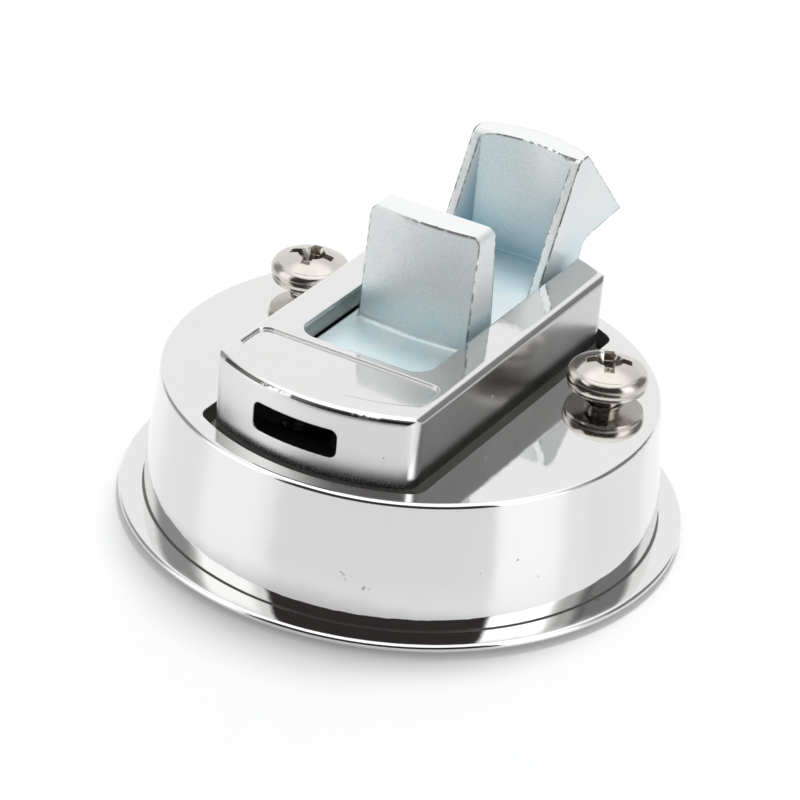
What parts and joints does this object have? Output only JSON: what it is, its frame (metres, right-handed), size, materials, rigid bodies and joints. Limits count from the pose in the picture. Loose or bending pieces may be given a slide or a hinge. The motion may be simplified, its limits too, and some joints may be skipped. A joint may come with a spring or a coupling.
{
  "type": "flush ring pull slam latch",
  "caption": "Round chrome flush pull slam latch: flanged cup, half-moon finger plate on the face, sprung wedge bolt with a release fin behind, and pan-head clamp screws.",
  "frame": {"origin": "on the barrel axis, in the plane of the flange seat that lies against the panel", "axes": "+Z from the visible face to the back of the latch; +X from the finger hole to the bolt; Y along the hinge pin"},
  "size_m": [0.062, 0.058, 0.0332],
  "materials": {
    "chrome_shell": "mirror chrome over die casting",
    "chrome_frame": "mirror chrome over die casting, soft edges",
    "chrome_pull": "mirror chrome over die casting",
    "zinc_pawl": "zinc plated casting, pale blue passivated, fine sandy grain",
    "steel_pin": "ground steel",
    "steel_spring": "drawn spring wire",
    "nickel_screw": "nickel plated, bright"
  },
  "bodies": {
    "body": {"shell": "chrome_shell", "frame": "chrome_frame", "hinge_pin": "steel_pin", "pawl_spring": "steel_spring", "pull_spring": "steel_spring", "clamp_screws": "nickel_screw"},
    "pull": {"ring_pull": "chrome_pull"},
    "pawl": {"pawl": "zinc_pawl"}
  },
  "joints": [
    {"name": "pull", "type": "hinge", "parent": "body", "child": "pull", "pos_m": [0.016, 0, 0.00555], "axis": [0, -1, 0], "range_deg": [0, 17], "stiffness_Nm_per_rad": 0.02, "springref_deg": -57.3, "deforming": ["pull_spring"]},
    {"name": "slam", "type": "hinge", "parent": "pull", "child": "pawl", "pos_m": [0.016, 0, 0.00555], "axis": [0, -1, 0], "range_deg": [0, 20], "stiffness_Nm_per_rad": 0.03, "springref_deg": -45.84, "deforming": ["pawl_spring"]}
  ]
}
